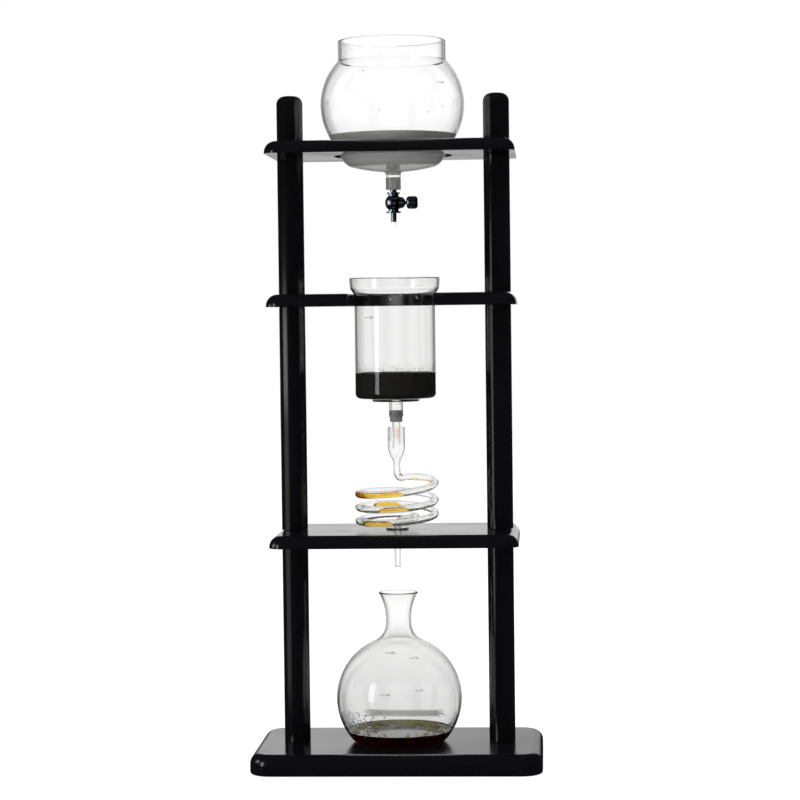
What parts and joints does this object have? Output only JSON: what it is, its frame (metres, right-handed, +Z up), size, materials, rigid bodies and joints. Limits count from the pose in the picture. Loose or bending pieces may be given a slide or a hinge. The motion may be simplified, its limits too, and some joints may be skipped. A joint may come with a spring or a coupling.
{
  "type": "cold drip coffee tower",
  "caption": "Two-post black wooden stand carrying a glass water bowl with needle valve, a coffee chamber, a cooling coil and a round flask for cold drip coffee.",
  "frame": {"origin": "centre of the base board's underside, on the table", "axes": "+Z up, +X to the right seen from the front, front towards -Y; every glass piece stands on the Z axis"},
  "size_m": [0.28, 0.172, 0.7033],
  "materials": {
    "black_lacquer": "turned and routed hardwood under high-gloss black lacquer",
    "clear_glass": "clear blown borosilicate glass",
    "black_chrome": "polished black plating",
    "dark_silicone": "matt dark silicone",
    "clear_silicone": "clear silicone, slightly cloudy",
    "grey_silicone": "translucent grey silicone",
    "filter_ceramic": "unglazed porous ceramic",
    "insert_brass": "plain machined",
    "plated_steel": "zinc plated"
  },
  "bodies": {
    "stand": {"base_board": "black_lacquer", "coil_shelf": "black_lacquer", "chamber_shelf": "black_lacquer", "bowl_shelf": "black_lacquer", "left_lower_post": "black_lacquer", "left_middle_post": "black_lacquer", "left_upper_post": "black_lacquer", "left_finial": "black_lacquer", "right_lower_post": "black_lacquer", "right_middle_post": "black_lacquer", "right_upper_post": "black_lacquer", "right_finial": "black_lacquer", "post_inserts": "insert_brass", "shelf_studs": "plated_steel", "base_screws": "plated_steel", "coil_grommet": "clear_silicone"},
    "bowl": {"water_bowl": "clear_glass", "bowl_stopper": "grey_silicone", "valve_body": "black_chrome", "valve_packing": "dark_silicone", "valve_bonnet": "black_chrome", "valve_nozzle": "black_chrome"},
    "needle": {"valve_needle": "black_chrome"},
    "knob": {"valve_knob": "black_chrome"},
    "chamber": {"coffee_chamber": "clear_glass", "filter_seal": "grey_silicone", "filter_disc": "filter_ceramic", "stem_stopper": "dark_silicone", "drip_tube": "clear_glass"},
    "coil": {"coil": "clear_glass"},
    "flask": {"flask": "clear_glass"}
  },
  "joints": [
    {"name": "bowl_lift", "type": "slide", "parent": "stand", "child": "bowl", "axis": [0, 0, 1], "range_m": [0, 0.08]},
    {"name": "needle_travel", "type": "slide", "parent": "bowl", "child": "needle", "axis": [1, 0, 0], "range_m": [0, 0.00151]},
    {"name": "knob_turn", "type": "hinge", "parent": "needle", "child": "knob", "pos_m": [0.018, 0, 0.5462], "axis": [1, 0, 0], "range_deg": [0, 720]},
    {"name": "chamber_lift", "type": "slide", "parent": "stand", "child": "chamber", "axis": [0, 0, 1], "range_m": [0, 0.045]},
    {"name": "coil_turn", "type": "hinge", "parent": "stand", "child": "coil", "pos_m": [0, 0, 0.222], "axis": [0, 0, 1], "continuous": true},
    {"name": "flask_slide", "type": "slide", "parent": "stand", "child": "flask", "axis": [0, -1, 0], "range_m": [0, 0.1]}
  ],
  "couplings": [
    {"joint": "needle_travel", "follows": "knob_turn", "m_per_rad": 0.00011937}
  ]
}
